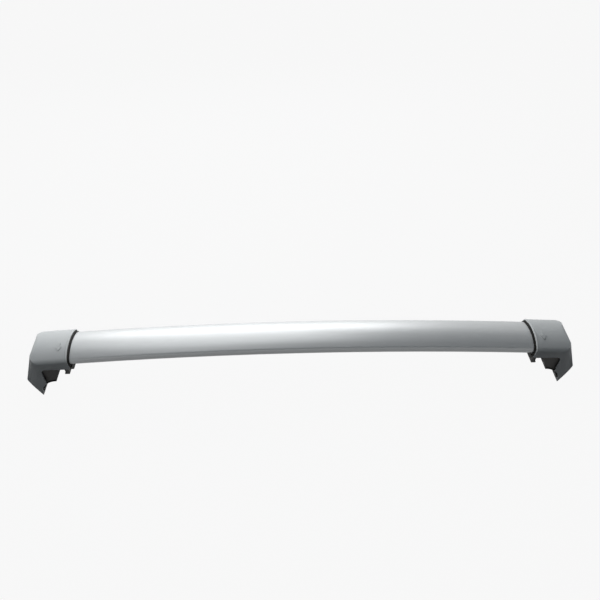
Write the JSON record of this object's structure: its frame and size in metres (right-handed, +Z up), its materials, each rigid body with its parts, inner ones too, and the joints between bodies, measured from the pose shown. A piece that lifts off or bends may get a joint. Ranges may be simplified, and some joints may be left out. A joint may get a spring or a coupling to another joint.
{
  "type": "roof rack crossbar",
  "caption": "Bowed aero crossbar for raised side rails: a hollow aluminium bar between two silver clamp feet with black inner bases, rubber rail pads and screw-driven jaws.",
  "frame": {"origin": "centre of the bounding box's base: middle of the bar, on the plane of the leg tips", "axes": "+X along the bar towards the right foot as pictured, -Y towards the viewer and the vehicle's front edge of the bar, +Z up"},
  "size_m": [1.0692, 0.0958, 0.1189],
  "materials": {
    "anodised_bar": "satin clear anodised, drawn lengthwise",
    "silver_paint": "silver metallic paint, satin",
    "black_plastic": "fine moulded grain",
    "black_rubber": "matt",
    "black_cast_jaw": "black powder coat over casting",
    "zinc_steel": "bright zinc plated",
    "screw_steel": "stainless"
  },
  "bodies": {
    "bar": {"bar_extrusion": "anodised_bar", "right_cover": "silver_paint", "right_base": "black_plastic", "right_rail_pad": "black_rubber", "right_collar_seal": "black_rubber", "right_clamp_nut": "zinc_steel", "right_bar_screws": "screw_steel", "right_cover_screws": "screw_steel", "left_cover": "silver_paint", "left_base": "black_plastic", "left_rail_pad": "black_rubber", "left_collar_seal": "black_rubber", "left_clamp_nut": "zinc_steel", "left_bar_screws": "screw_steel", "left_cover_screws": "screw_steel"},
    "right_jaw": {"right_clamp_jaw": "black_cast_jaw", "right_jaw_pad": "black_rubber", "right_clamp_washer": "zinc_steel"},
    "right_bolt": {"right_clamp_bolt": "zinc_steel"},
    "left_jaw": {"left_clamp_jaw": "black_cast_jaw", "left_jaw_pad": "black_rubber", "left_clamp_washer": "zinc_steel"},
    "left_bolt": {"left_clamp_bolt": "zinc_steel"}
  },
  "joints": [
    {"name": "right_bolt_turn", "type": "hinge", "parent": "right_jaw", "child": "right_bolt", "pos_m": [0.4594, 0, 0.051], "axis": [-1, 0, 0], "range_deg": [0, 2304]},
    {"name": "right_jaw_slide", "type": "slide", "parent": "bar", "child": "right_jaw", "axis": [-1, 0, 0], "range_m": [0, 0.008]},
    {"name": "left_bolt_turn", "type": "hinge", "parent": "left_jaw", "child": "left_bolt", "pos_m": [-0.4594, 0, 0.051], "axis": [1, 0, 0], "range_deg": [0, 2304]},
    {"name": "left_jaw_slide", "type": "slide", "parent": "bar", "child": "left_jaw", "axis": [1, 0, 0], "range_m": [0, 0.008]}
  ],
  "couplings": [
    {"joint": "right_bolt_turn", "follows": "right_jaw_slide", "rad_per_m": 5026.5},
    {"joint": "left_bolt_turn", "follows": "left_jaw_slide", "rad_per_m": 5026.5}
  ]
}
